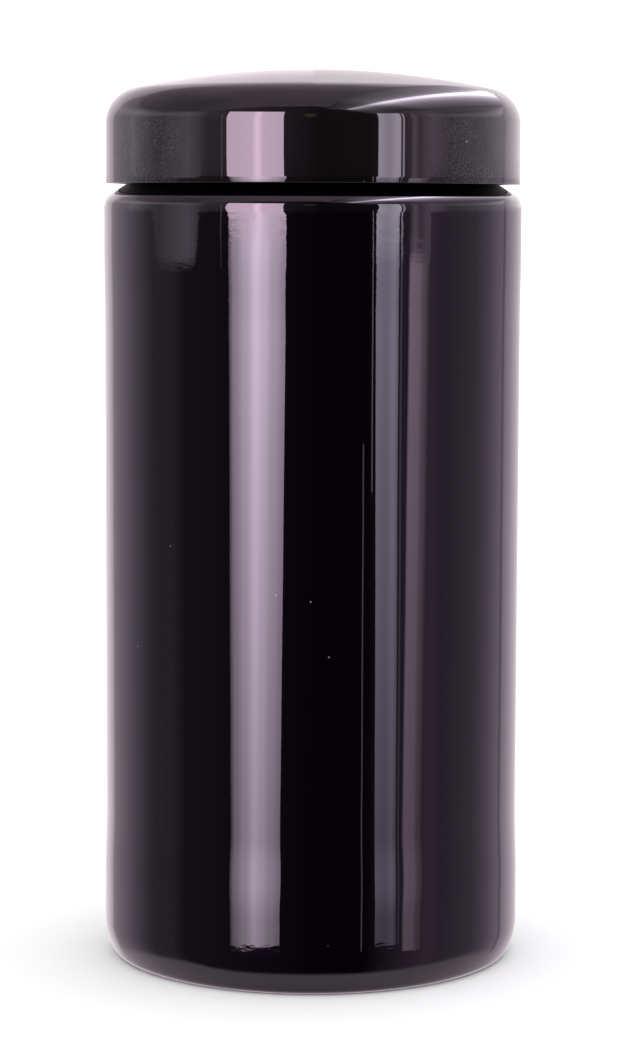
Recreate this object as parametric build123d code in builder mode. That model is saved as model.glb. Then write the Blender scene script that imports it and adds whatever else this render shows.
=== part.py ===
from build123d import *
from math import atan2, cos, degrees, radians, sin, sqrt, tan
import os

# Tall glass storage jar with a double-wall screw lid, in four separate pieces.
# Units are millimetres. The origin is the centre of the base, in the plane the jar stands on, +Z up.

# Glass body
panel_diameter = 95.0
shoulder_bead_proud = 0.16  # how far the shoulder stands out past the straight panel, on the radius
heel_bead_proud = 0.36
glass_wall = 4.0
shoulder_height = 172.3  # where the shoulder's round starts
shoulder_round = 3.4
collar_slope = 31.0  # degrees: the sloping collar between the shoulder and the neck
neck_root_round = 2.0
heel_round = 16.0
heel_turn = 24.0  # degrees of the heel's large round, before the base corner's small one
base_corner_round = 2.8
bearing_width = 3.4  # the flat ring that the jar stands on
push_up = 3.2  # rise of the underside's middle
floor_thickness = 5.5
floor_round = 13.0
bead_length = 10.0  # straight height of each bead
bead_blend = 16.0  # height over which a bead fades into the panel

# Glass neck
neck_inset = 7.16  # from the shoulder's side in to the neck's wall
neck_wall = 3.0
lip_round = 0.8
inner_shoulder_round = 6.0

# Screw thread: one start, right hand
thread_lead = 5.08
thread_depth = 1.0
thread_base_half = 1.2  # half of a ridge's height where it meets the wall
thread_crest_half = 0.5
thread_root = 0.5  # how deep a ridge's root lies in its wall
thread_drop = 2.6  # from the lip down to the middle of the glass ridge's upper end
thread_foot = 0.43  # plain neck between the lowest ridge and the root's round
thread_fade = 0.1  # share of a turn over which each end of a ridge fades into the wall
thread_end_sink = 0.125  # how deep the crest goes under the wall at a ridge's very end
thread_sections = 20  # sections that carry the ridge round, per turn
jar_thread_turns = 1.4
cap_thread_turns = 1.3

# Lid
lid_inset = 0.26  # from the panel's side in to the lid's
lid_corner_round = 8.2
corner_below_plate = 3.2  # from the top of the cap's plate down to where the shell's corner starts
crown_height = 9.2  # from the top of the cap's plate up to the middle of the dome
shell_wall = 1.8
rim_edge_round = 0.35
cap_wall = 1.5
cap_plate = 1.6
cap_corner_round = 1.2
cap_foot = 0.23  # plain skirt below the cap's lowest ridge
cap_flange = 1.2  # the ring that closes the gap between the two walls from below
cap_recess = 0.5  # how far the flange sits inside the shell's rim
liner_thickness = 1.5
liner_bead = 0.5  # the ridge that keeps the liner in the cap
liner_bead_height = 0.7
support_ring_radius = 22.0
support_ring_wall = 1.2
rib_count = 12
rib_width = 1.4
rib_above_corner = 1.5  # how far a rib runs up past the start of the shell's corner
lug_width = 2.2
lug_height = 6.0

# Clearances
thread_radial_clearance = 0.3
thread_flank_clearance = 0.12
liner_clearance = 0.2
liner_bead_clearance = 0.1
press_clearance = 0.06  # between the shell and the cap, which are pressed together

# Radii worked out from the sizes above
panel_radius = panel_diameter / 2
shoulder_radius = panel_radius + shoulder_bead_proud
heel_radius = panel_radius + heel_bead_proud
inner_radius = panel_radius - glass_wall
neck_radius = shoulder_radius - neck_inset
bore_radius = neck_radius - neck_wall
cap_minor_radius = neck_radius + thread_radial_clearance
cap_inner_radius = cap_minor_radius + thread_depth
cap_outer_radius = cap_inner_radius + cap_wall
lid_radius = panel_radius - lid_inset
shell_inner_radius = lid_radius - shell_wall


def on_arc(centre, radius, angle):
    """The point of a circle at an angle, in degrees from the X direction."""
    return centre[0] + radius * cos(radians(angle)), centre[1] + radius * sin(radians(angle))


def heel_points():
    """The heel: a large round, then the base corner's small one, tangent to the bearing ring."""
    step = heel_round - base_corner_round
    large_centre = (
        heel_radius - heel_round,
        base_corner_round + step * sin(radians(heel_turn)),
    )
    small_centre = on_arc(large_centre, step, -heel_turn)
    return {
        "side": on_arc(large_centre, heel_round, 0),
        "side_mid": on_arc(large_centre, heel_round, -heel_turn / 2),
        "join": on_arc(large_centre, heel_round, -heel_turn),
        "corner_mid": on_arc(small_centre, base_corner_round, -(heel_turn + 90) / 2),
        "ring": on_arc(small_centre, base_corner_round, -90),
    }


def shoulder_points():
    """The shoulder's round, the sloping collar and the round at the neck's root."""
    centre = (shoulder_radius - shoulder_round, shoulder_height)
    slope_start = on_arc(centre, shoulder_round, 90 - collar_slope)
    slope_top = slope_start[1] + (slope_start[0] - neck_radius) * tan(radians(collar_slope))
    setback = neck_root_round * tan(radians((90 - collar_slope) / 2))
    root_centre = (neck_radius + neck_root_round, slope_top + setback)
    return {
        "side": (shoulder_radius, shoulder_height),
        "round_mid": on_arc(centre, shoulder_round, (90 - collar_slope) / 2),
        "slope_start": slope_start,
        "slope_end": on_arc(root_centre, neck_root_round, 270 - collar_slope),
        "root_mid": on_arc(root_centre, neck_root_round, 225 - collar_slope / 2),
        "neck": (neck_radius, slope_top + setback),
    }


heel = heel_points()
shoulder = shoulder_points()
flank_slope = (thread_base_half - thread_crest_half) / thread_depth
ridge_contact = thread_base_half + thread_crest_half - flank_slope * thread_radial_clearance
ridge_offset = ridge_contact + thread_flank_clearance  # the cap's ridge lies this far below the jar's
root_half = thread_base_half + flank_slope * thread_root

# Heights, from the neck's root up
thread_rise = thread_lead * jar_thread_turns
lip_height = shoulder["neck"][1] + thread_foot + thread_base_half + thread_rise + thread_drop
jar_thread_start = lip_height - thread_drop - thread_rise
cap_thread_start = jar_thread_start - ridge_offset
cap_bottom = cap_thread_start - root_half - cap_foot
lid_rim_height = cap_bottom - cap_recess
flange_top = cap_bottom + cap_flange
plate_underside = lip_height + liner_thickness
plate_top = plate_underside + cap_plate
corner_height = plate_top - corner_below_plate
apex_height = plate_top + crown_height

# The lid's dome: one large arc, tangent to the corner's round and level at the middle
corner_centre = (lid_radius - lid_corner_round, corner_height)
dome_rise = apex_height - corner_height
dome_radius = (dome_rise**2 + corner_centre[0] ** 2 - lid_corner_round**2) / (
    2 * (dome_rise - lid_corner_round)
)
dome_centre = (0, apex_height - dome_radius)
dome_join = degrees(atan2(corner_height - dome_centre[1], corner_centre[0]))


def dome_points(inset):
    """The shell's corner and dome, on the outer face or set in from it."""
    return {
        "side": on_arc(corner_centre, lid_corner_round - inset, 0),
        "corner_mid": on_arc(corner_centre, lid_corner_round - inset, dome_join / 2),
        "join": on_arc(corner_centre, lid_corner_round - inset, dome_join),
        "dome_mid": on_arc(dome_centre, dome_radius - inset, (dome_join + 90) / 2),
        "apex": (0, apex_height - inset),
    }


def radial_plane(angle):
    """The plane through the jar's axis at an angle: X is outwards and Y is up."""
    outwards = (cos(radians(angle)), sin(radians(angle)), 0)
    return Plane(origin=(0, 0, 0), x_dir=outwards, z_dir=(outwards[1], -outwards[0], 0))


def thread_ridge(wall_radius, outwards, start_height, turns):
    """A helical ridge on a wall, outwards (1) or inwards (-1), that fades out at both ends."""
    steps = round(turns * thread_sections)
    with BuildPart() as ridge:
        for step in range(steps + 1):
            turned = turns * step / steps
            share = min(1, turned / thread_fade, (turns - turned) / thread_fade)
            swell = share * share * (3 - 2 * share)
            crest = (thread_depth + thread_end_sink) * swell - thread_end_sink
            crest_half = thread_base_half - flank_slope * crest
            height = start_height + thread_lead * turned
            root = wall_radius - outwards * thread_root
            top = wall_radius + outwards * crest
            with BuildSketch(radial_plane(360 * turned)):
                with BuildLine():
                    Polyline(
                        (root, height - root_half),
                        (top, height - crest_half),
                        (top, height + crest_half),
                        (root, height + root_half),
                        close=True,
                    )
                make_face()
        loft()
    return ridge.part


# The glass jar, blown in one piece
floor_height = push_up + floor_thickness
ring_inner = heel["ring"][0] - bearing_width
heel_bead_top = heel["side"][1] + bead_length
panel_bottom = heel_bead_top + bead_blend
shoulder_bead_bottom = shoulder_height - bead_length
panel_top = shoulder_bead_bottom - bead_blend
inner_side_top = shoulder_height - inner_shoulder_round
jar_ridge = thread_ridge(neck_radius, 1, jar_thread_start, jar_thread_turns)

with BuildPart() as jar_body:
    with BuildSketch(Plane.XZ):
        with BuildLine():
            ThreePointArc((0, push_up), (ring_inner / 2, push_up * 3 / 4), (ring_inner, 0))
            Line((ring_inner, 0), heel["ring"])
            ThreePointArc(heel["ring"], heel["corner_mid"], heel["join"])
            ThreePointArc(heel["join"], heel["side_mid"], heel["side"])
            Line(heel["side"], (heel_radius, heel_bead_top))
            Spline(
                (heel_radius, heel_bead_top),
                (panel_radius, panel_bottom),
                tangents=((0, 1), (0, 1)),
            )
            Line((panel_radius, panel_bottom), (panel_radius, panel_top))
            Spline(
                (panel_radius, panel_top),
                (shoulder_radius, shoulder_bead_bottom),
                tangents=((0, 1), (0, 1)),
            )
            Line((shoulder_radius, shoulder_bead_bottom), shoulder["side"])
            ThreePointArc(shoulder["side"], shoulder["round_mid"], shoulder["slope_start"])
            Line(shoulder["slope_start"], shoulder["slope_end"])
            ThreePointArc(shoulder["slope_end"], shoulder["root_mid"], shoulder["neck"])
            Line(shoulder["neck"], (neck_radius, lip_height))
            Line((neck_radius, lip_height), (bore_radius, lip_height))
            Line((bore_radius, lip_height), (bore_radius, shoulder["neck"][1]))
            Spline(
                (bore_radius, shoulder["neck"][1]),
                (inner_radius, inner_side_top),
                tangents=((0, -1), (0, -1)),
            )
            Line((inner_radius, inner_side_top), (inner_radius, floor_height))
            Line((inner_radius, floor_height), (0, floor_height))
            Line((0, floor_height), (0, push_up))
        make_face()
    revolve(axis=Axis.Z)
    rings = jar_body.edges().filter_by(GeomType.CIRCLE)
    lip_rings = rings.group_by(Axis.Z)[-1]
    fillet(lip_rings, lip_round)
    rings = jar_body.edges().filter_by(GeomType.CIRCLE)
    floor_ring = rings.filter_by(lambda ring: abs(ring.center().Z - floor_height) < 0.01)
    fillet(floor_ring, floor_round)
    add(jar_ridge)
jar_body.part.label = "jar_body"

# The foam disc that seals on the lip
with BuildPart() as sealing_liner:
    with BuildSketch(Plane.XY.offset(lip_height)):
        Circle(cap_inner_radius - liner_clearance)
    extrude(amount=liner_thickness)
sealing_liner.part.label = "sealing_liner"

# The lid's inner cap: thread, plate over the liner, flange and drive lugs
cap_ridge = thread_ridge(cap_inner_radius, -1, cap_thread_start, cap_thread_turns)
bead_top = lip_height - liner_bead_clearance
bead_middle = bead_top - liner_bead_height / 2
bead_bottom = bead_top - liner_bead_height
lug_inner = cap_outer_radius - cap_wall / 2
lug_outer = shell_inner_radius - 2 * press_clearance
lug_angle = degrees(atan2((rib_width + lug_width) / 2 + press_clearance, cap_outer_radius))

with BuildPart() as lid_inner_cap:
    with BuildSketch(Plane.XZ):
        with BuildLine():
            Polyline(
                (0, plate_underside),
                (cap_inner_radius, plate_underside),
                (cap_inner_radius, bead_top),
                (cap_inner_radius - liner_bead, bead_middle),
                (cap_inner_radius, bead_bottom),
                (cap_inner_radius, cap_bottom),
                (shell_inner_radius - press_clearance, cap_bottom),
                (shell_inner_radius - press_clearance, flange_top),
                (cap_outer_radius, flange_top),
                (cap_outer_radius, plate_top),
                (0, plate_top),
                close=True,
            )
        make_face()
    revolve(axis=Axis.Z)
    rings = lid_inner_cap.edges().filter_by(GeomType.CIRCLE)
    fillet(rings.group_by(Axis.Z)[-1], cap_corner_round)
    with BuildSketch(Plane.XY.offset(flange_top)):
        for side in (-1, 1):
            with PolarLocations((lug_inner + lug_outer) / 2, rib_count, start_angle=side * lug_angle):
                Rectangle(lug_outer - lug_inner, lug_width)
    extrude(amount=lug_height)
    add(cap_ridge)
lid_inner_cap.part.label = "lid_inner_cap"

# The lid's outer shell: dome, side, ribs that the cap's lugs hold, and a ring that bears on the plate
outer = dome_points(0)
inner = dome_points(shell_wall)
ring_top = dome_centre[1] + sqrt((dome_radius - shell_wall / 2) ** 2 - support_ring_radius**2)
rib_inner = cap_outer_radius + press_clearance
rib_outer = shell_inner_radius + shell_wall / 2
rib_bottom = flange_top + press_clearance

with BuildPart() as lid_outer_shell:
    with BuildSketch(Plane.XZ):
        with BuildLine():
            Line((lid_radius, lid_rim_height), outer["side"])
            ThreePointArc(outer["side"], outer["corner_mid"], outer["join"])
            ThreePointArc(outer["join"], outer["dome_mid"], outer["apex"])
            Line(outer["apex"], inner["apex"])
            ThreePointArc(inner["apex"], inner["dome_mid"], inner["join"])
            ThreePointArc(inner["join"], inner["corner_mid"], inner["side"])
            Line(inner["side"], (shell_inner_radius, lid_rim_height))
            Line((shell_inner_radius, lid_rim_height), (lid_radius, lid_rim_height))
        make_face()
    revolve(axis=Axis.Z)
    rings = lid_outer_shell.edges().filter_by(GeomType.CIRCLE)
    fillet(rings.group_by(Axis.Z)[0], rim_edge_round)
    with BuildSketch(Plane.XY.offset(plate_top + press_clearance)):
        Circle(support_ring_radius + support_ring_wall / 2)
        Circle(support_ring_radius - support_ring_wall / 2, mode=Mode.SUBTRACT)
    extrude(amount=ring_top - plate_top - press_clearance)
    with BuildSketch(Plane.XY.offset(rib_bottom)):
        with PolarLocations((rib_inner + rib_outer) / 2, rib_count):
            Rectangle(rib_outer - rib_inner, rib_width)
    extrude(amount=corner_height + rib_above_corner - rib_bottom)
lid_outer_shell.part.label = "lid_outer_shell"

os.makedirs("parts", exist_ok=True)
export_step(jar_body.part, "parts/jar_body.step")
export_step(sealing_liner.part, "parts/sealing_liner.step")
export_step(lid_inner_cap.part, "parts/lid_inner_cap.step")
export_step(lid_outer_shell.part, "parts/lid_outer_shell.step")

print("lip height", round(lip_height, 3), "rim height", round(lid_rim_height, 3))
print("overall height", round(apex_height, 3))
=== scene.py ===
import math

import bpy
import numpy as np
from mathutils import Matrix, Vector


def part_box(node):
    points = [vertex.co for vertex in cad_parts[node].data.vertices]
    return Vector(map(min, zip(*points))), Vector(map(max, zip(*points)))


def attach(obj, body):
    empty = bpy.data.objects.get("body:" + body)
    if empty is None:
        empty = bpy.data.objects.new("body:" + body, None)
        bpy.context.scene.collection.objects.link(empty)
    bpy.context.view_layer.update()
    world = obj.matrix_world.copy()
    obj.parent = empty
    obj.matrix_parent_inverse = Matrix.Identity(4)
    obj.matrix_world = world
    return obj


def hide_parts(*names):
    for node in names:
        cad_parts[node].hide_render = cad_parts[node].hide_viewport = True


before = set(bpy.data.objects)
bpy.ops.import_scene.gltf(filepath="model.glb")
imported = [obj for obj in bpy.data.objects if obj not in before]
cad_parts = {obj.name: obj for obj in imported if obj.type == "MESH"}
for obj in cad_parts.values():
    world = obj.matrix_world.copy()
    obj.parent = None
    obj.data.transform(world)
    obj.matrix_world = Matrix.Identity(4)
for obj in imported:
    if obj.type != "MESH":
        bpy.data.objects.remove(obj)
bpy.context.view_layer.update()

mm = 0.001


def nodeBox(node):
    # lowest and highest corner of a CAD node, in millimetres
    low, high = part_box(node)
    return np.array(low) / mm, np.array(high) / mm


jarHigh = nodeBox("jar_body")[1]
shellLow, shellHigh = nodeBox("lid_outer_shell")
capLow, capHigh = nodeBox("lid_inner_cap")
linerLow, linerHigh = nodeBox("sealing_liner")
lipHeight = jarHigh[2]


# outlines: points (radius, height) in millimetres, listed so that the outside is on the right

def arc(centre, radius, start, stop, count):
    # point(a) = centre + radius * (cos a, sin a), a from start to stop in degrees
    a = np.radians(np.linspace(start, stop, count))
    return np.stack([centre[0] + radius * np.cos(a), centre[1] + radius * np.sin(a)], axis=1)


def line(start, stop, count):
    # straight run of evenly spaced points
    t = np.linspace(0, 1, count)[:, None]
    return np.array(start) * (1 - t) + np.array(stop) * t


def easeLine(start, stop, count):
    # height runs evenly while the radius eases as 3t^2 - 2t^3, level at both ends
    t = np.linspace(0, 1, count)
    ease = t * t * (3 - 2 * t)
    radius = start[0] + (stop[0] - start[0]) * ease
    height = start[1] + (stop[1] - start[1]) * t
    return np.stack([radius, height], axis=1)


def chain(*runs):
    # joins runs end to end and drops points that coincide
    points = np.concatenate(runs)
    keep = np.concatenate([[True], np.linalg.norm(np.diff(points, axis=0), axis=1) > 1e-4])
    return points[keep]


def crisp(corners, gap):
    # straight runs through the corners, with extra points a gap away from each corner to hold its edge
    corners = np.array(corners, dtype=float)
    along = np.diff(corners, axis=0)
    along = along / np.linalg.norm(along, axis=1)[:, None]
    first = corners[:-1] + along * gap
    last = corners[1:] - along * gap
    points = np.stack([corners[:-1], first, last], axis=1).reshape(-1, 2)
    return np.concatenate([points, corners[-1:]])


# meshes

def turnedMesh(name, outline, around, offset=None, closed=False):
    # point(u, v) = (r cos u, r sin u, z): the outline (r, z) turned about Z, with offset(u, r, z) added to r.
    # An end on the axis becomes one pole vertex; a closed outline joins its last ring to its first.
    r, z = outline[:, 0], outline[:, 1]
    u = np.linspace(0, 2 * np.pi, around, endpoint=False)
    rr = np.repeat(r[:, None], around, axis=1)
    zz = np.repeat(z[:, None], around, axis=1)
    uu = np.repeat(u[None, :], len(r), axis=0)
    if offset is not None:
        rr = rr + offset(uu, rr, zz)
    rows = np.arange(len(r))
    poleStart = r[0] < 1e-6
    poleEnd = r[-1] < 1e-6
    gridRows = rows[int(poleStart):len(r) - int(poleEnd)]
    points = np.stack([rr * np.cos(uu), rr * np.sin(uu), zz], axis=2)[gridRows].reshape(-1, 3)
    count = len(gridRows)
    lower = np.arange(count if closed else count - 1)
    upper = (lower + 1) % count
    step = np.arange(around)
    nextStep = (step + 1) % around
    quads = np.stack([
        (lower[:, None] * around + step).ravel(),
        (lower[:, None] * around + nextStep).ravel(),
        (upper[:, None] * around + nextStep).ravel(),
        (upper[:, None] * around + step).ravel(),
    ], axis=1)
    extra, fans = [], []
    if poleStart:
        pole = len(points) + len(extra)
        extra.append([0, 0, z[0]])
        fans.append(np.stack([np.full(around, pole), nextStep, step], axis=1))
    if poleEnd:
        pole = len(points) + len(extra)
        extra.append([0, 0, z[-1]])
        last = (count - 1) * around
        fans.append(np.stack([np.full(around, pole), last + step, last + nextStep], axis=1))
    if extra:
        points = np.concatenate([points, np.array(extra, dtype=float)])
    triangles = np.concatenate(fans) if fans else np.zeros((0, 3), int)
    return makeMesh(name, points * mm, quads, triangles)


def blockRing(name, angles, inner, outer, width, low, high):
    # equal blocks round the axis: each corner (x, y, z) of one block along +X, turned by every angle (degrees)
    x = np.array([inner, outer, outer, inner] * 2)
    y = np.array([-1, -1, 1, 1] * 2) * width / 2
    z = np.repeat([low, high], 4)
    a = np.radians(np.array(angles))[:, None]
    turnedX = x * np.cos(a) - y * np.sin(a)
    turnedY = x * np.sin(a) + y * np.cos(a)
    points = np.stack([turnedX, turnedY, np.broadcast_to(z, (len(angles), 8))], axis=2)
    sides = np.array([[0, 3, 2, 1], [4, 5, 6, 7], [0, 1, 5, 4], [1, 2, 6, 5], [2, 3, 7, 6], [3, 0, 4, 7]])
    quads = sides[None] + 8 * np.arange(len(angles))[:, None, None]
    return makeMesh(name, points.reshape(-1, 3) * mm, quads.reshape(-1, 4), smooth=False)


def makeMesh(name, points, quads, triangles=None, smooth=True):
    # writes whole arrays into a mesh object at the origin
    triangles = np.zeros((0, 3), int) if triangles is None else triangles
    corners = np.concatenate([quads.ravel(), triangles.ravel()]).astype(np.int32)
    sizes = np.concatenate([np.full(len(quads), 4), np.full(len(triangles), 3)])
    starts = np.concatenate([[0], np.cumsum(sizes)[:-1]]).astype(np.int32)
    mesh = bpy.data.meshes.new(name)
    mesh.vertices.add(len(points))
    mesh.vertices.foreach_set("co", points.astype(np.float32).ravel())
    mesh.loops.add(len(corners))
    mesh.loops.foreach_set("vertex_index", corners)
    mesh.polygons.add(len(sizes))
    mesh.polygons.foreach_set("loop_start", starts)
    mesh.polygons.foreach_set("use_smooth", np.full(len(sizes), smooth))
    mesh.update(calc_edges=True)
    mesh.validate()
    piece = bpy.data.objects.new(name, mesh)
    bpy.context.collection.objects.link(piece)
    return piece


def threadOffset(thread, outwards):
    # radius gained by a helical ridge: depth * section(|z - helix(u)|) * fade at both ends,
    # where helix(u) = start + lead * turn and section falls from 1 at the crest to 0 at the base
    def offset(u, r, z):
        gained = np.zeros_like(r)
        for whole in range(int(math.ceil(thread["turns"])) + 1):
            turn = u / (2 * np.pi) + whole
            away = np.abs(z - thread["start"] - thread["lead"] * turn)
            flank = (thread["baseHalf"] - away) / (thread["baseHalf"] - thread["crestHalf"])
            section = np.clip(flank, 0, 1)
            section = section + thread["soften"] * (section * section * (3 - 2 * section) - section)
            ends = np.clip(np.minimum(turn, thread["turns"] - turn) / thread["fade"], 0, 1)
            gained = np.maximum(gained, section * ends * ends * (3 - 2 * ends))
        onWall = np.abs(r - thread["wall"]) < 0.01
        return np.where(onWall, outwards * thread["depth"] * gained, 0)
    return offset


# materials

def newMaterial(name):
    material = bpy.data.materials.new(name)
    material.use_nodes = True
    return material, material.node_tree, material.node_tree.nodes["Principled BSDF"]


def maths(tree, operation, a, b=0.0):
    # one Math node; a and b are numbers or sockets
    node = tree.nodes.new("ShaderNodeMath")
    node.operation = operation
    for socket, value in zip(node.inputs, (a, b)):
        if isinstance(value, (int, float)):
            socket.default_value = value
        else:
            tree.links.new(value, socket)
    return node.outputs[0]


def ranged(tree, value, fromLow, fromHigh, toLow, toHigh, smooth=False):
    node = tree.nodes.new("ShaderNodeMapRange")
    if smooth:
        node.interpolation_type = "SMOOTHSTEP"
    for name, given in zip(("Value", "From Min", "From Max", "To Min", "To Max"),
                           (value, fromLow, fromHigh, toLow, toHigh)):
        if isinstance(given, (int, float)):
            node.inputs[name].default_value = given
        else:
            tree.links.new(given, node.inputs[name])
    return node.outputs["Result"]


def blended(tree, factor, a, b):
    # colour between a and b; each is a colour or a socket
    node = tree.nodes.new("ShaderNodeMix")
    node.data_type = "RGBA"
    tree.links.new(factor, node.inputs["Factor"])
    colourInputs = [socket for socket in node.inputs if socket.type == "RGBA"]
    for socket, value in zip(colourInputs, (a, b)):
        if isinstance(value, tuple):
            socket.default_value = value
        else:
            tree.links.new(value, socket)
    return [socket for socket in node.outputs if socket.type == "RGBA"][0]


def objectPlace(tree, stretch=(1, 1, 1)):
    # Object coordinates in metres, stretched by three factors
    coordinates = tree.nodes.new("ShaderNodeTexCoord")
    mapping = tree.nodes.new("ShaderNodeMapping")
    mapping.inputs["Scale"].default_value = stretch
    tree.links.new(coordinates.outputs["Object"], mapping.inputs["Vector"])
    return mapping.outputs["Vector"]


def objectNoise(tree, stretch, scale, detail=3.0, roughness=0.5):
    noise = tree.nodes.new("ShaderNodeTexNoise")
    noise.inputs["Scale"].default_value = scale
    noise.inputs["Detail"].default_value = detail
    noise.inputs["Roughness"].default_value = roughness
    tree.links.new(objectPlace(tree, stretch), noise.inputs["Vector"])
    return noise.outputs["Fac"]


def specks(tree, perMetre, size, share):
    # 1 inside small round specks: cells of a Voronoi pattern, of which a share is kept
    cells = tree.nodes.new("ShaderNodeTexVoronoi")
    cells.inputs["Scale"].default_value = perMetre
    tree.links.new(objectPlace(tree), cells.inputs["Vector"])
    parts = tree.nodes.new("ShaderNodeSeparateXYZ")
    tree.links.new(cells.outputs["Color"], parts.inputs[0])
    near = maths(tree, "LESS_THAN", cells.outputs["Distance"], size)
    kept = maths(tree, "GREATER_THAN", parts.outputs["X"], 1 - share)
    return maths(tree, "MULTIPLY", near, kept)


def bumped(tree, height, strength, distance, before=None):
    node = tree.nodes.new("ShaderNodeBump")
    if isinstance(strength, (int, float)):
        node.inputs["Strength"].default_value = strength
    else:
        tree.links.new(strength, node.inputs["Strength"])
    node.inputs["Distance"].default_value = distance
    tree.links.new(height, node.inputs["Height"])
    if before is not None:
        tree.links.new(before, node.inputs["Normal"])
    return node.outputs["Normal"]


glassLook = {
    "colour": (0.0006, 0.0003, 0.0009, 1),
    "glow": (0.50, 0.18, 0.95, 1),  # the violet of light that has been through the wall and back
    "glowLevel": 0.022,
    "glowRough": 0.075,
    "ior": 1.52,
    "sheenRough": 0.012,
    "ripple": 0.0000022,  # metres
    "waver": 0.0000085,
    "wallWaver": 0.000020,
}


def violetGlass():
    material, tree, shader = newMaterial("violetGlass")
    shader.inputs["Roughness"].default_value = glassLook["glowRough"]
    shader.inputs["Specular IOR Level"].default_value = glassLook["glowLevel"]
    shader.inputs["Specular Tint"].default_value = glassLook["glow"]
    shader.inputs["Coat Weight"].default_value = 1.0
    shader.inputs["Coat IOR"].default_value = glassLook["ior"]
    shader.inputs["Coat Roughness"].default_value = glassLook["sheenRough"]
    dust = specks(tree, 260, 0.045, 0.05)
    tree.links.new(blended(tree, dust, glassLook["colour"], (0.22, 0.20, 0.23, 1)), shader.inputs["Base Color"])
    # fine level ripples, a wavering skin that is strongest under the shoulder, and slow swells of the wall
    place = tree.nodes.new("ShaderNodeSeparateXYZ")
    tree.links.new(objectPlace(tree), place.inputs[0])
    nearShoulder = ranged(tree, place.outputs["Z"], 0.135, 0.172, 0.22, 1.0, True)
    ripple = objectNoise(tree, (0.15, 0.15, 1.0), 1500, 2)
    normal = bumped(tree, ripple, nearShoulder, glassLook["ripple"])
    waver = objectNoise(tree, (1, 1, 1.4), 380, 2)
    normal = bumped(tree, waver, nearShoulder, glassLook["waver"], normal)
    swell = objectNoise(tree, (1, 1, 0.35), 75, 1)
    normal = bumped(tree, swell, 1.0, glassLook["wallWaver"], normal)
    tree.links.new(normal, shader.inputs["Normal"])
    tree.links.new(normal, shader.inputs["Coat Normal"])
    return material


lidLook = {
    "colour": (0.0012, 0.0009, 0.0010, 1),
    # lighter grey of the scuffs, partly a painted sheen on the lid's left and right sides
    "scuffAndSheen": (0.085, 0.078, 0.092, 1),
    "haze": 0.36,
    "hazeLevel": 0.014,
    "gloss": 0.012,
    "grain": 0.0000010,
}


def glossShell():
    material, tree, shader = newMaterial("glossShell")
    shader.inputs["Specular IOR Level"].default_value = lidLook["hazeLevel"]
    shader.inputs["Coat Weight"].default_value = 1.0
    shader.inputs["Coat Roughness"].default_value = lidLook["gloss"]
    shader.inputs["Coat IOR"].default_value = 1.5
    # hairline scuffs run up and down where fingers grip the two sides of the lid; their lighter grey on the
    # lid's left and right is partly a painted sheen of the side lights
    place = tree.nodes.new("ShaderNodeSeparateXYZ")
    tree.links.new(objectPlace(tree), place.inputs[0])
    side = ranged(tree, maths(tree, "ABSOLUTE", place.outputs["X"]), 0.022, 0.034, 0, 1, True)
    skirt = ranged(tree, place.outputs["Z"], 0.1905, 0.1925, 1, 0, True)
    gripAndSheen = maths(tree, "MULTIPLY", side, skirt)
    hair = ranged(tree, objectNoise(tree, (1, 1, 0.45), 5200, 3, 0.7), 0.46, 0.72, 0, 1, True)
    patch = ranged(tree, objectNoise(tree, (1, 1, 0.5), 160, 2), 0.35, 0.65, 0.35, 1)
    scuffsAndSheen = maths(tree, "MULTIPLY", maths(tree, "MULTIPLY", hair, patch), gripAndSheen)
    dust = specks(tree, 300, 0.05, 0.05)
    # real scuffs, together with a painted sheen, lighten the base colour on the two sides
    wornWithSheen = blended(tree, scuffsAndSheen, lidLook["colour"], lidLook["scuffAndSheen"])
    tree.links.new(blended(tree, dust, wornWithSheen, (0.35, 0.33, 0.36, 1)), shader.inputs["Base Color"])
    haze = ranged(tree, patch, 0.25, 1, lidLook["haze"], lidLook["haze"] * 1.3)
    tree.links.new(haze, shader.inputs["Roughness"])
    grain = objectNoise(tree, (1, 1, 0.35), 1100, 2)
    grainShare = ranged(tree, gripAndSheen, 0, 1, 0.15, 1.0)
    normal = bumped(tree, grain, grainShare, lidLook["grain"])
    swell = objectNoise(tree, (1, 1, 0.4), 90, 1)
    normal = bumped(tree, swell, 1.0, 0.000006, normal)
    tree.links.new(normal, shader.inputs["Coat Normal"])
    return material


def capPlastic():
    material, tree, shader = newMaterial("capPlastic")
    shader.inputs["Base Color"].default_value = (0.012, 0.012, 0.013, 1)
    mottle = objectNoise(tree, (1, 1, 1), 300, 2)
    tree.links.new(ranged(tree, mottle, 0.3, 0.7, 0.36, 0.48), shader.inputs["Roughness"])
    grain = objectNoise(tree, (1, 1, 1), 2500, 2)
    tree.links.new(bumped(tree, grain, 0.3, 0.00003), shader.inputs["Normal"])
    return material


def linerFoam():
    material, tree, shader = newMaterial("linerFoam")
    shader.inputs["Base Color"].default_value = (0.82, 0.82, 0.80, 1)
    mottle = objectNoise(tree, (1, 1, 1), 400, 2)
    tree.links.new(ranged(tree, mottle, 0.3, 0.7, 0.5, 0.7), shader.inputs["Roughness"])
    cells = objectNoise(tree, (1, 1, 1), 1800, 3)
    tree.links.new(bumped(tree, cells, 0.5, 0.0001), shader.inputs["Normal"])
    return material


# the jar

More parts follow.
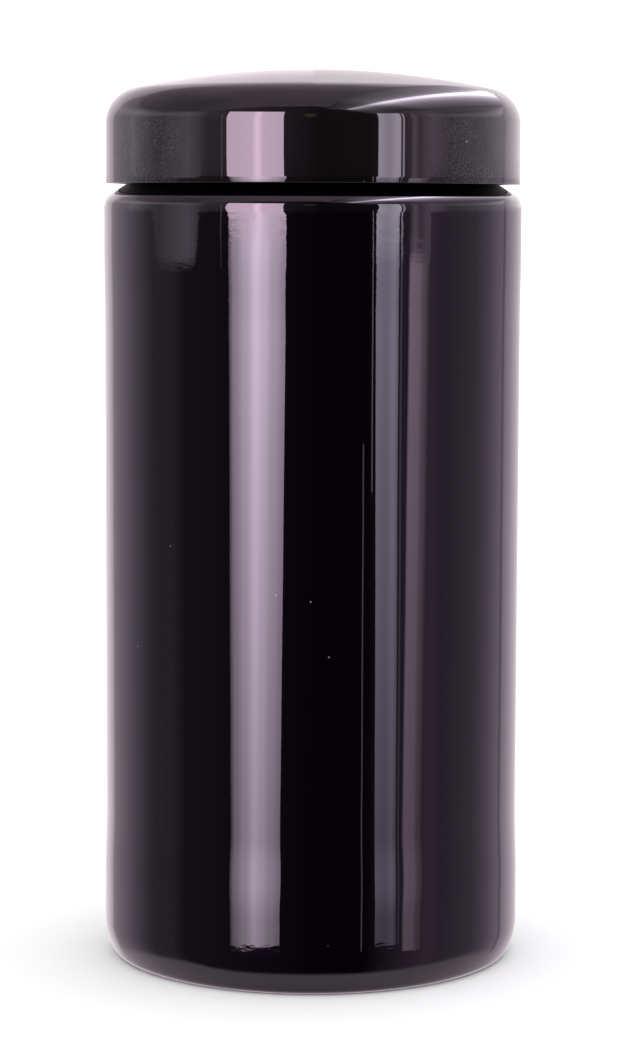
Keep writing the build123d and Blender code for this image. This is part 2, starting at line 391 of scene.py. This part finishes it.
jar = {
    "around": 320,
    "panel": 47.5,
    "shoulderProud": 0.16,
    "heelProud": 0.36,
    "wall": 4.0,
    "shoulderHeight": 172.3,
    "shoulderRound": 3.4,
    "collarSlope": 31.0,
    "rootRound": 2.0,
    "heelRound": 16.0,
    "heelTurn": 24.0,
    "cornerRound": 2.8,
    "bearing": 3.4,
    "pushUp": 3.2,
    "floor": 5.5,
    "floorRound": 13.0,
    "bead": 10.0,
    "blend": 16.0,
    "neck": 40.5,
    "neckWall": 3.0,
    "lipRound": 0.8,
    "innerShoulder": 6.0,
}
jarThread = {
    "wall": jar["neck"],
    "lead": 5.08,
    "depth": 1.0,
    "baseHalf": 1.2,
    "crestHalf": 0.5,
    "turns": 1.4,
    "fade": 0.1,
    "soften": 0.8,
    "start": lipHeight - 2.6 - 5.08 * 1.4,
}


def jarOutline():
    # outside from the middle of the underside up to the lip, then inside down to the floor
    heelRadius = jar["panel"] + jar["heelProud"]
    shoulderRadius = jar["panel"] + jar["shoulderProud"]
    step = jar["heelRound"] - jar["cornerRound"]
    turn = math.radians(jar["heelTurn"])
    heelCentre = (heelRadius - jar["heelRound"], jar["cornerRound"] + step * math.sin(turn))
    cornerCentre = (heelCentre[0] + step * math.cos(turn), jar["cornerRound"])
    ringOuter = cornerCentre[0]
    ringInner = ringOuter - jar["bearing"]
    # underside: a shallow arc through its middle, halfway and ring points, z = pushUp (1 - s^2)
    s = np.linspace(0, 1, 40)
    under = np.stack([ringInner * s, jar["pushUp"] * (1 - s * s)], axis=1)
    beadTop = heelCentre[1] + jar["bead"]
    beadBottom = jar["shoulderHeight"] - jar["bead"]
    panelBottom = beadTop + jar["blend"]
    panelTop = beadBottom - jar["blend"]
    shoulderCentre = (shoulderRadius - jar["shoulderRound"], jar["shoulderHeight"])
    slope = math.radians(jar["collarSlope"])
    slopeStart = (
        shoulderCentre[0] + jar["shoulderRound"] * math.sin(slope),
        shoulderCentre[1] + jar["shoulderRound"] * math.cos(slope),
    )
    cornerHeight = slopeStart[1] + (slopeStart[0] - jar["neck"]) * math.tan(slope)
    rootHeight = cornerHeight + jar["rootRound"] * math.tan((math.pi / 2 - slope) / 2)
    rootCentre = (jar["neck"] + jar["rootRound"], rootHeight)
    rootStart = (
        rootCentre[0] - jar["rootRound"] * math.sin(slope),
        rootCentre[1] - jar["rootRound"] * math.cos(slope),
    )
    lipRound = jar["lipRound"]
    bore = jar["neck"] - jar["neckWall"]
    inside = jar["panel"] - jar["wall"]
    floor = jar["pushUp"] + jar["floor"]
    sideTop = jar["shoulderHeight"] - jar["innerShoulder"]
    return chain(
        under,
        line((ringInner, 0), (ringOuter, 0), 5),
        arc(cornerCentre, jar["cornerRound"], -90, -jar["heelTurn"], 18),
        arc(heelCentre, jar["heelRound"], -jar["heelTurn"], 0, 16),
        line((heelRadius, heelCentre[1]), (heelRadius, beadTop), 8),
        easeLine((heelRadius, beadTop), (jar["panel"], panelBottom), 14),
        line((jar["panel"], panelBottom), (jar["panel"], panelTop), 70),
        easeLine((jar["panel"], panelTop), (shoulderRadius, beadBottom), 14),
        line((shoulderRadius, beadBottom), (shoulderRadius, jar["shoulderHeight"]), 8),
        arc(shoulderCentre, jar["shoulderRound"], 0, 90 - jar["collarSlope"], 16),
        line(slopeStart, rootStart, 6),
        arc(rootCentre, jar["rootRound"], 270 - jar["collarSlope"], 180, 12),
        line((jar["neck"], rootHeight), (jar["neck"], lipHeight - lipRound), 56),
        arc((jar["neck"] - lipRound, lipHeight - lipRound), lipRound, 0, 90, 8),
        line((jar["neck"] - lipRound, lipHeight), (bore + lipRound, lipHeight), 3),
        arc((bore + lipRound, lipHeight - lipRound), lipRound, 90, 180, 8),
        line((bore, lipHeight - lipRound), (bore, rootHeight), 5),
        easeLine((bore, rootHeight), (inside, sideTop), 20),
        line((inside, sideTop), (inside, floor + jar["floorRound"]), 20),
        arc((inside - jar["floorRound"], floor + jar["floorRound"]), jar["floorRound"], 0, -90, 14),
        line((inside - jar["floorRound"], floor), (0, floor), 8),
    )


jarGlass = turnedMesh("jarGlass", jarOutline(), jar["around"], threadOffset(jarThread, 1))
jarGlass.data.materials.append(violetGlass())
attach(jarGlass, "jar")
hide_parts("jar_body")
print("jar", len(jarGlass.data.polygons))

# the lid's shell

lid = {
    "around": 320,
    "radius": 47.24,
    "wall": 1.8,
    "corner": 8.2,
    "cornerBelowApex": 12.4,
    "rimRound": 0.2,
}


def shellOutline():
    # outside from the rim up over the corner and dome to the apex, inside back down: one closed wall
    rim, apex = shellLow[2], shellHigh[2]
    cornerCentre = (lid["radius"] - lid["corner"], apex - lid["cornerBelowApex"])
    rise = lid["cornerBelowApex"]
    across = cornerCentre[0]
    dome = (rise**2 + across**2 - lid["corner"] ** 2) / (2 * (rise - lid["corner"]))
    domeCentre = (0, apex - dome)
    join = math.degrees(math.atan2(cornerCentre[1] - domeCentre[1], across))
    wall = lid["wall"]
    inner = lid["radius"] - wall
    edge = lid["rimRound"]
    inside = [
        arc(domeCentre, dome - wall, 90, join, 30),
        arc(cornerCentre, lid["corner"] - wall, join, 0, 16),
        line((inner, cornerCentre[1]), (inner, rim + edge), 8),
    ]
    outside = [
        arc((inner + edge, rim + edge), edge, 180, 270, 6),
        line((inner + edge, rim), (lid["radius"] - edge, rim), 3),
        arc((lid["radius"] - edge, rim + edge), edge, 270, 360, 6),
        line((lid["radius"], rim + edge), (lid["radius"], cornerCentre[1]), 12),
        arc(cornerCentre, lid["corner"], 0, join, 48),
        arc(domeCentre, dome, join, 90, 60),
    ]
    outline = chain(*inside, *outside)
    outline[[0, -1], 0] = 0  # both ends lie on the axis
    return outline


shellGloss = glossShell()
lidShell = turnedMesh("lidShell", shellOutline(), lid["around"])
plateTop = capHigh[2]
stiffeners = {
    "ringInner": 21.4,
    "ringOuter": 22.6,
    "ringIntoDome": 2.4,  # the ring's top below the apex
    "ringGap": 0.06,  # over the inner cap's plate
    "ribInner": 43.36,
    "ribOuter": 46.2,
    "ribWidth": 1.4,
    "ribs": 12,
    "ribAboveCap": 1.26,
    "ribPastCorner": 1.5,
}
ribBottom = capLow[2] + stiffeners["ribAboveCap"]
ribTop = shellHigh[2] - lid["cornerBelowApex"] + stiffeners["ribPastCorner"]
lidRibs = blockRing(
    "lidRibs", np.arange(stiffeners["ribs"]) * 360 / stiffeners["ribs"],
    stiffeners["ribInner"], stiffeners["ribOuter"], stiffeners["ribWidth"], ribBottom, ribTop,
)
ringLow, ringHigh = plateTop + stiffeners["ringGap"], shellHigh[2] - stiffeners["ringIntoDome"]
ringCorners = [
    (stiffeners["ringOuter"], ringLow), (stiffeners["ringOuter"], ringHigh),
    (stiffeners["ringInner"], ringHigh), (stiffeners["ringInner"], ringLow),
    (stiffeners["ringOuter"], ringLow),
]
lidRing = turnedMesh("lidRing", crisp(ringCorners, 0.05)[:-1], 96, closed=True)
for piece in (lidShell, lidRibs, lidRing):
    piece.data.materials.append(shellGloss)
    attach(piece, "lid")
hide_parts("lid_outer_shell")
print("lid shell", len(lidShell.data.polygons))

# the lid's inner cap, with the thread

cap = {
    "around": 320,
    "wallInner": 41.8,
    "wallOuter": 43.3,
    "flange": 45.38,
    "flangeHeight": 1.2,
    "plate": 1.6,
    "bead": 0.5,
    "beadBelowLip": 0.1,
    "beadHeight": 0.7,
    "corner": 1.2,
    "lugs": 12,
    "lugWidth": 2.2,
    "lugHeight": 6.0,
    "lugInner": 42.55,
    "lugOuter": 45.32,
    "lugTurn": 2.461,  # degrees from a rib's middle to a lug's
}
capThread = {
    "wall": cap["wallInner"],
    "lead": 5.08,
    "depth": 1.0,
    "baseHalf": 1.2,
    "crestHalf": 0.5,
    "turns": 1.3,
    "fade": 0.1,
    "soften": 0.8,
    "start": jarThread["start"] - 1.61,
}


def capOutline():
    # underside of the plate, liner bead, threaded wall, flange, then the outer wall up to the plate's top
    under, top, bottom = plateTop - cap["plate"], plateTop, capLow[2]
    beadTop = lipHeight - cap["beadBelowLip"]
    beadBottom = beadTop - cap["beadHeight"]
    wall, outer, corner = cap["wallInner"], cap["wallOuter"], cap["corner"]
    gap = 0.05
    return chain(
        crisp([(0, under), (wall, under), (wall, beadTop),
               (wall - cap["bead"], beadTop - cap["beadHeight"] / 2), (wall, beadBottom)], gap),
        line((wall, beadBottom), (wall, bottom + 0.05), 90),
        crisp([(wall, bottom), (cap["flange"], bottom), (cap["flange"], bottom + cap["flangeHeight"]),
               (outer, bottom + cap["flangeHeight"]), (outer, top - corner)], gap),
        arc((outer - corner, top - corner), corner, 0, 90, 10),
        line((outer - corner, top), (0, top), 6),
    )


innerCap = turnedMesh("innerCap", capOutline(), cap["around"], threadOffset(capThread, -1))
lugAngles = np.arange(cap["lugs"]) * 360 / cap["lugs"]
capLugs = blockRing(
    "capLugs", np.concatenate([lugAngles - cap["lugTurn"], lugAngles + cap["lugTurn"]]),
    cap["lugInner"], cap["lugOuter"], cap["lugWidth"],
    capLow[2] + cap["flangeHeight"] - 0.1, capLow[2] + cap["flangeHeight"] + cap["lugHeight"],
)
capBlack = capPlastic()
for piece in (innerCap, capLugs):
    piece.data.materials.append(capBlack)
    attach(piece, "lid")
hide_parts("lid_inner_cap")

# the sealing liner

liner = {"around": 160, "radius": linerHigh[0], "edge": 0.25}
discEdge = liner["edge"]
linerOutline = chain(
    line((0, linerLow[2]), (liner["radius"] - discEdge, linerLow[2]), 12),
    arc((liner["radius"] - discEdge, linerLow[2] + discEdge), discEdge, 270, 360, 5),
    arc((liner["radius"] - discEdge, linerHigh[2] - discEdge), discEdge, 0, 90, 5),
    line((liner["radius"] - discEdge, linerHigh[2]), (0, linerHigh[2]), 12),
)
linerDisc = turnedMesh("linerDisc", linerOutline, liner["around"])
linerDisc.data.materials.append(linerFoam())
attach(linerDisc, "liner")
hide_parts("sealing_liner")
print("cap and liner", len(innerCap.data.polygons), len(linerDisc.data.polygons))

# camera

view = {
    "distance": 0.700,
    "height": 0.17225,
    "pitch": 5.99,
    "turn": 0.133,
    "roll": -0.20,
    "lens": 104.1,
}
camera = bpy.data.objects.new("camera", bpy.data.cameras.new("camera"))
bpy.context.collection.objects.link(camera)
camera.data.lens = view["lens"]
camera.data.sensor_width = 36
camera.location = (0, -view["distance"], view["height"])
camera.rotation_euler = (
    math.radians(90 - view["pitch"]),
    math.radians(view["roll"]),
    math.radians(-view["turn"]),
)
bpy.context.scene.camera = camera

# floor

bpy.ops.mesh.primitive_plane_add(size=40, location=(0, 0, 0))
floor = bpy.context.object
floor.name = "floor"
floorMaterial, _, floorShader = newMaterial("paleFloor")
floorShader.inputs["Base Color"].default_value = (0.9, 0.9, 0.9, 1)
floorShader.inputs["Roughness"].default_value = 0.9
floor.data.materials.append(floorMaterial)
floor.visible_glossy = False

# the room: white behind the jar, grey at the sides and above, dark on the camera's side

room = {
    # azimuth in degrees from the camera's side, positive to the right; brightness there; its green share
    "lower": [
        (-180, 0.86, 0.9), (-165, 1.0, 0.88), (-153, 1.2, 0.86), (-146, 1.15, 0.86),
        (-143.5, 0.74, 0.82), (-125, 0.76, 0.85), (-112, 0.6, 0.8),
        (-98, 0.3, 0.78), (-82, 0.3, 0.77), (-74, 0.13, 0.72), (-62, 0.13, 0.72), (-50, 0.1, 0.7),
        (-12, 0.05, 0.62), (5, 0.02, 0.6), (30, 0.02, 0.6), (68, 0.5, 0.68), (76, 0.37, 0.72),
        (100, 0.45, 0.78), (122, 0.8, 0.82), (128, 0.8, 0.82), (129.5, 0.5, 0.8),
        (130.8, 0.5, 0.8), (133, 0.95, 0.82),
        (148, 1.0, 0.84), (165, 0.86, 0.9), (180, 0.86, 0.9),
    ],
    "upper": [
        (-180, 1.25, 0.88), (-146, 1.2, 0.88), (-143.5, 0.76, 0.82), (-121, 0.88, 0.86), (-118.5, 1.15, 0.86),
        (-112, 1.0, 0.85), (-98, 0.56, 0.84), (-92, 0.5, 0.82), (-72, 1.25, 0.82), (-66, 0.95, 0.78),
        (-60, 0.5, 0.74), (-50, 0.45, 0.74), (-12, 0.17, 0.7), (5, 0.05, 0.75), (33, 0.08, 0.75),
        (54, 0.6, 0.7), (68, 1.4, 0.74), (80, 0.62, 0.76), (100, 0.8, 0.8), (120, 1.05, 0.86),
        (129.5, 1.1, 0.86),
        (130.5, 0.6, 0.84), (131.5, 1.25, 0.86), (142, 1.5, 0.86), (156, 1.4, 0.92),
        (170, 1.1, 0.92), (180, 1.05, 0.9),
    ],
    "change": (-0.1, 1.1),  # degrees of elevation between the lower and the upper profile
    # azimuth; elevation where the ceiling starts; depth where the floor starts; strength of the picture rail
    "edges": [
        (-180, 50, 24, 0.0), (-135, 30, 24, 0.5), (-118, 21, 24, 1.2), (-75, 21, 27, 1.0), (-60, 21, 32, 0.2),
        (-45, 32, 35, 0.0), (-30, 37, 36, 0.0), (0, 40, 36, 0.0), (12, 35, 36, 0.0), (22, 25, 36, 0.0),
        (35, 18, 35, 0.0), (52, 21, 33, 0.2), (72, 21, 29, 0.8), (100, 21, 24, 1.1), (124, 19, 24, 1.6),
        (130, 19, 24, 0.3), (131, 50, 24, 0.0), (180, 50, 24, 0.0),
    ],
    "ceiling": (0.90, 0.72, 0.90, 1),
    "ceilingSoft": 4,
    "ground": (1.05, 0.86, 1.03, 1),
    "groundSoft": 7,
    "doorDrop": 2.2,
    "rail": 14.0,
    "railSoft": 4.2,
    "ceilingLeft": 0.62,  # share of the ceiling's light over the left-hand side
    "underJar": 0.6,  # share of the ground's light left right under the jar
    "folds": 90,
    "foldDepth": 0.13,
    "edgeRise": (9, 27),
    "edgeLean": 25,
    "peak": 2.0,
    "floorLight": 1.4,
}


def azimuthRamp(tree, share, stops):
    # colours round the room; each stop is (azimuth, red, green, blue)
    node = tree.nodes.new("ShaderNodeValToRGB")
    tree.links.new(share, node.inputs[0])
    elements = node.color_ramp.elements
    while len(elements) < len(stops):
        elements.new(0.5)
    for element, (angle, red, green, blue) in zip(elements, stops):
        element.position = (angle + 180) / 360
        element.color = (red, green, blue, 1)
    return node.outputs["Color"]


def roomWorld():
    world = bpy.data.worlds.new("room")
    bpy.context.scene.world = world
    world.use_nodes = True
    tree = world.node_tree
    tree.nodes.clear()
    link = tree.links.new
    coordinates = tree.nodes.new("ShaderNodeTexCoord")
    parts = tree.nodes.new("ShaderNodeSeparateXYZ")
    link(coordinates.outputs["Generated"], parts.inputs[0])
    azimuth = maths(tree, "ARCTAN2", parts.outputs["X"], maths(tree, "MULTIPLY", parts.outputs["Y"], -1.0))
    share = ranged(tree, azimuth, -math.pi, math.pi, 0, 1)
    elevation = maths(tree, "MULTIPLY", maths(tree, "ARCSINE", parts.outputs["Z"]), 180 / math.pi)
    # the backdrop's right-hand edge leans back as it rises
    lean = ranged(tree, elevation, *room["edgeRise"], 0, room["edgeLean"] / 360)
    lean = maths(tree, "MULTIPLY", lean, ranged(tree, share, 0.72, 0.80, 0, 1, True))
    share = maths(tree, "SUBTRACT", share, lean)
    peak = room["peak"]
    profiles = []
    for key, sideBlue in (("lower", 1.03), ("upper", 1.02)):
        stops = []
        for angle, bright, green in room[key]:
            blue = 0.96 if abs(angle) > 140 else sideBlue
            stops.append((angle, bright / peak, bright * green / peak, bright * blue / peak))
        profiles.append(azimuthRamp(tree, share, stops))
    lower, upper = profiles
    edges = tree.nodes.new("ShaderNodeSeparateColor")
    edgeStops = [(angle, ceiling / 90, ground / 90, rail / 2) for angle, ceiling, ground, rail in room["edges"]]
    link(azimuthRamp(tree, share, edgeStops), edges.inputs[0])
    # the pale door on the left reaches lower than the rest of the upper profile
    doorStart = ranged(tree, share, 0.22, 0.25, 0, 1, True)
    doorEnd = ranged(tree, share, 0.312, 0.326, 1, 0, True)
    drop = maths(tree, "MULTIPLY", maths(tree, "MULTIPLY", doorStart, doorEnd), room["doorDrop"])
    change = ranged(tree, maths(tree, "ADD", elevation, drop), *room["change"], 0, 1, True)
    walls = blended(tree, change, lower, upper)
    # folds of a curtain: soft upright streaks round the room
    folds = tree.nodes.new("ShaderNodeTexNoise")
    folds.noise_dimensions = "1D"
    folds.inputs["Detail"].default_value = 2
    link(maths(tree, "MULTIPLY", share, room["folds"]), folds.inputs["W"])
    fromFront = maths(tree, "ABSOLUTE", maths(tree, "SUBTRACT", share, 0.5))
    foldDepth = ranged(tree, fromFront, 0.28, 0.36, room["foldDepth"], 0, True)  # none on the white behind
    shade = ranged(tree, folds.outputs["Fac"], 0.3, 0.7, -1, 1)
    shade = maths(tree, "ADD", 1.0, maths(tree, "MULTIPLY", shade, foldDepth))
    scaled = tree.nodes.new("ShaderNodeVectorMath")
    scaled.operation = "SCALE"
    link(walls, scaled.inputs[0])
    link(shade, scaled.inputs["Scale"])
    walls = scaled.outputs[0]
    # picture rail: a narrow bright level line
    away = maths(tree, "DIVIDE", maths(tree, "SUBTRACT", elevation, room["rail"]), room["railSoft"])
    rail = maths(tree, "POWER", math.e, maths(tree, "MULTIPLY", maths(tree, "MULTIPLY", away, away), -1.0))
    rail = maths(tree, "MULTIPLY", rail, edges.outputs[2])
    walls = blended(tree, rail, walls, (1.0, 0.86, 1.0, 1))
    over = maths(tree, "SUBTRACT", elevation, maths(tree, "MULTIPLY", edges.outputs[0], 90.0))
    over = ranged(tree, over, -room["ceilingSoft"] / 2, room["ceilingSoft"] / 2, 0, 1, True)
    under = maths(tree, "ADD", elevation, maths(tree, "MULTIPLY", edges.outputs[1], 90.0))
    under = maths(tree, "MULTIPLY", under, -1.0)
    under = ranged(tree, under, -room["groundSoft"] / 2, room["groundSoft"] / 2, 0, 1, True)
    ceiling = tuple(c / peak for c in room["ceiling"])
    leftStart = ranged(tree, share, 0.03, 0.09, 0, 1, True)
    leftEnd = ranged(tree, share, 0.28, 0.38, 1, 0, True)
    leftSide = maths(tree, "MULTIPLY", leftStart, leftEnd)
    leftSide = maths(tree, "MULTIPLY", leftSide, ranged(tree, elevation, 44, 62, 1, 0.3, True))
    ceiling = blended(tree, leftSide, ceiling, tuple(c * room["ceilingLeft"] for c in ceiling[:3]) + (1,))
    colour = blended(tree, over, walls, ceiling)
    ground = tuple(c / peak for c in room["ground"])
    dimGround = tuple(c * room["underJar"] for c in ground[:3]) + (1,)
    shaded = blended(tree, ranged(tree, elevation, -80, -44, 0, 1), dimGround, ground)
    colour = blended(tree, under, colour, shaded)
    mirrored = tree.nodes.new("ShaderNodeBackground")
    mirrored.inputs["Strength"].default_value = peak
    link(colour, mirrored.inputs["Color"])
    soft = tree.nodes.new("ShaderNodeBackground")
    soft.inputs["Color"].default_value = (1, 1, 1, 1)
    soft.inputs["Strength"].default_value = room["floorLight"]
    rays = tree.nodes.new("ShaderNodeLightPath")
    mix = tree.nodes.new("ShaderNodeMixShader")
    link(rays.outputs["Is Glossy Ray"], mix.inputs["Fac"])
    link(soft.outputs[0], mix.inputs[1])
    link(mirrored.outputs[0], mix.inputs[2])
    out = tree.nodes.new("ShaderNodeOutputWorld")
    link(mix.outputs[0], out.inputs["Surface"])


roomWorld()

# lamps: curved soft boxes that stand round the jar, out of the camera's sight

# "upper" and "lower" are brightness across the lamp, left to right, above and below the change of elevation
lamps = {
    "softbox": {
        "from": -47.2, "to": -15.6, "low": -18.3, "high": 21.5,
        "change": (-1.6, -0.2), "fade": 0.40, "lean": 1.6, "narrow": (1.3, -2.8),
        "upperColour": (1.0, 0.735, 0.93), "lowerColour": (1.0, 0.80, 1.02),
        "upper": [(0, 11), (0.12, 11.4), (0.44, 12), (0.55, 16.5), (0.66, 12), (1, 11)],
        "lower": [(0, 2.0), (0.1, 6.0), (0.3, 10), (0.5, 15.4), (0.62, 13), (0.8, 9.2), (1, 6.2)],
    },
    "softboxRim": {
        "from": -50.3, "to": -49.7, "low": -3, "high": 16,
        "change": (-1.6, -0.2), "fade": 1, "lean": 0, "narrow": (0, 0),
        "upperColour": (1.0, 0.8, 1.0), "lowerColour": (1.0, 0.8, 1.0),
        "upper": [(0, 1.4), (1, 1.4)], "lower": [(0, 0.5), (1, 0.5)],
    },
    "strip": {
        "from": 35.2, "to": 48.2, "low": -18.3, "high": 18.0,
        "change": (-3, 0), "fade": 0.27, "lean": -1.2, "narrow": (1.0, 0),
        "upperColour": (1.0, 0.87, 1.06), "lowerColour": (0.93, 0.84, 1.12),
        "upper": [(0, 6.2), (0.45, 5.0), (0.9, 6.4), (1, 5.8)],
        "lower": [(0, 4.2), (0.45, 3.6), (0.8, 4.6), (1, 3.0)],
    },
    "stripRim": {
        "from": 49.2, "to": 50.3, "low": -18.3, "high": 18.0,
        "change": (-3, 0), "fade": 0.5, "lean": -1.2, "narrow": (0, 0),
        "upperColour": (1.0, 0.87, 1.06), "lowerColour": (0.93, 0.84, 1.12),
        "upper": [(0, 4.5), (1, 4.5)], "lower": [(0, 1.0), (1, 1.0)],
    },
    "curtain": {
        "from": 53.0, "to": 66.0, "low": -18.5, "high": 18.0,
        "change": (-3, -1), "fade": 0.5, "lean": 0, "narrow": (-2.2, -2.6),
        "upperColour": (1.0, 0.7, 0.94), "lowerColour": (1.0, 0.71, 0.93),
        "upper": [(0, 0.5), (0.25, 1.5), (0.5, 0.8), (0.8, 1.2), (1, 1.3)],
        "lower": [(0, 1.6), (0.1, 3.4), (0.45, 3.1), (0.75, 1.7), (1, 0.7)],
    },
    "pole": {
        "from": 27.2, "to": 27.9, "low": -18.4, "high": -6.3,
        "change": (-3, -1), "fade": 0.8, "lean": 0, "narrow": (0, 0),
        "upperColour": (1.0, 0.9, 1.0), "lowerColour": (1.0, 0.9, 1.0),
        "upper": [(0, 1.2), (1, 1.2)], "lower": [(0, 1.2), (1, 1.2)],
    },
    "poleNear": {
        "from": 32.1, "to": 32.6, "low": -7.5, "high": 0,
        "change": (-3, -1), "fade": 0.8, "lean": 0, "narrow": (0, 0),
        "upperColour": (1.0, 0.9, 1.0), "lowerColour": (1.0, 0.9, 1.0),
        "upper": [(0, 2.4), (1, 2.4)], "lower": [(0, 2.4), (1, 2.4)],
    },
    "doorGlow": {
        "from": -6, "to": 2, "low": 7, "high": 17,
        "change": (-3, -1), "fade": 1, "lean": 0, "narrow": (0, 0),
        "upperColour": (1.0, 0.75, 0.5), "lowerColour": (1, 0.75, 0.5),
        "upper": [(0, 0.2), (0.5, 0.6), (1, 0.3)], "lower": [(0, 0.2), (1, 0.2)],
    },
}
lampAway = 2.0  # metres from the jar's axis
lampPeak = 20.0  # the brightest that a ramp can give


def lampObject(mesh, colour, strength):
    # an emitter that lights only mirrored views of it, not the floor or the camera
    material = mesh.data.materials[0]
    tree = material.node_tree
    emission = tree.nodes.new("ShaderNodeEmission")
    out = tree.nodes.new("ShaderNodeOutputMaterial")
    tree.links.new(emission.outputs[0], out.inputs["Surface"])
    tree.links.new(colour, emission.inputs["Color"])
    tree.links.new(strength, emission.inputs["Strength"])
    mesh.visible_camera = False
    mesh.visible_diffuse = False
    mesh.visible_shadow = False


def lampMaterial(piece, name):
    # an empty tree that reads the lamp's own map: X across, Y up
    material = bpy.data.materials.new(name)
    material.use_nodes = True
    piece.data.materials.append(material)
    tree = material.node_tree
    tree.nodes.clear()
    uv = tree.nodes.new("ShaderNodeUVMap")
    uv.uv_map = "lampMap"
    parts = tree.nodes.new("ShaderNodeSeparateXYZ")
    tree.links.new(uv.outputs[0], parts.inputs[0])
    return tree, parts.outputs["X"], parts.outputs["Y"]


def levels(tree, across, stops, colour):
    # a ramp across the lamp, as shares of the brightest lamp
    node = tree.nodes.new("ShaderNodeValToRGB")
    tree.links.new(across, node.inputs[0])
    node.color_ramp.interpolation = "EASE"
    elements = node.color_ramp.elements
    while len(elements) < len(stops):
        elements.new(0.5)
    for element, (position, level) in zip(elements, stops):
        element.position = position
        element.color = (*[c * level / lampPeak for c in colour], 1)
    return node.outputs["Color"]


def gridMesh(name, points):
    # quads over a grid of points, with its own map from 0 to 1 both ways
    tall, across = points.shape[:2]
    index = np.arange(across * tall).reshape(tall, across)
    quads = np.stack([
        index[:-1, :-1].ravel(), index[1:, :-1].ravel(), index[1:, 1:].ravel(), index[:-1, 1:].ravel(),
    ], axis=1)
    made = makeMesh(name, points.reshape(-1, 3), quads)
    u, v = np.meshgrid(np.linspace(0, 1, across), np.linspace(0, 1, tall))
    corners = quads.ravel()
    layer = made.data.uv_layers.new(name="lampMap")
    layer.data.foreach_set("uv", np.stack([u.ravel()[corners], v.ravel()[corners]], axis=1).ravel())
    return made


def curvedLamp(name, lamp):
    # point(a, e) = away * (sin a, -cos a, tan e) over the lip's height; a runs across, e runs up,
    # and a gains the lamp's lean where e is below level; its two sides close in further down by "narrow"
    a, e = np.meshgrid(
        np.radians(np.linspace(lamp["from"], lamp["to"], 40)),
        np.arctan(np.linspace(math.tan(math.radians(lamp["low"])), math.tan(math.radians(lamp["high"])), 60)),
    )
    height = lipHeight * mm + lampAway * np.tan(e)
    lowered = np.clip((math.radians(0.2) - e) / math.radians(0.8), 0, 1)
    a = a + math.radians(lamp["lean"]) * lowered
    left, right = (math.radians(n) for n in lamp["narrow"])
    closing = np.clip((math.radians(-2) - e) / math.radians(14), 0, 1)
    a = a + (left + (right - left) * np.linspace(0, 1, 40)) * closing
    made = gridMesh(name, np.stack([lampAway * np.sin(a), -lampAway * np.cos(a), height], axis=2))
    tree, across, up = lampMaterial(made, name)
    low, high = (math.tan(math.radians(lamp[k])) for k in ("low", "high"))
    changes = [(math.tan(math.radians(c)) - low) / (high - low) for c in lamp["change"]]
    colour = blended(
        tree, ranged(tree, up, *changes, 0, 1, True),
        levels(tree, across, lamp["lower"], lamp["lowerColour"]),
        levels(tree, across, lamp["upper"], lamp["upperColour"]),
    )
    strength = ranged(tree, up, 0, max(0.05, changes[1]), lampPeak * lamp["fade"], lampPeak)
    lampObject(made, colour, strength)


for name, lamp in lamps.items():
    curvedLamp(name, lamp)

# a long row of ceiling tubes above and to the right, running front to back
tube = {
    "height": 1.2, "from": -1.72, "to": 2.3, "inner": (0.20, 0.34), "outer": (1.80, 1.95),
    # light across the row: the tube itself, then its glow on the ceiling, away from the jar
    "light": [
        (0, 0.9), (0.09, 1.6), (0.16, 2.3), (0.229, 4.2), (0.258, 19), (0.301, 19),
        (0.345, 9), (0.422, 5), (0.525, 2.8), (0.7, 1.7), (1, 0.8),
    ],
}


def tubeRow():
    # point(s, t): s runs along Y from front to back, t across in X between the inner and the outer line
    s = np.linspace(0, 1, 30)
    y = tube["from"] + (tube["to"] - tube["from"]) * s
    height = np.full(30, tube["height"])
    inner = tube["inner"][0] + (tube["inner"][1] - tube["inner"][0]) * s
    outer = tube["outer"][0] + (tube["outer"][1] - tube["outer"][0]) * s
    points = np.stack([np.stack([x, y, height], axis=1) for x in (inner, outer)], axis=0)
    made = gridMesh("tubeRow", points)
    tree, along, across = lampMaterial(made, "tubeRow")
    colour = levels(tree, across, tube["light"], (1.0, 0.87, 1.04))
    # the row comes up from its front end, and its glow weakens towards the back
    strength = ranged(tree, along, 0.18, 0.29, 0.4, 1.0)
    strength = maths(tree, "MULTIPLY", strength, ranged(tree, along, 0.3, 0.7, lampPeak, lampPeak * 0.7))
    lampObject(made, colour, strength)


tubeRow()

bpy.context.scene.view_settings.view_transform = "Standard"
print("room and lamps set")
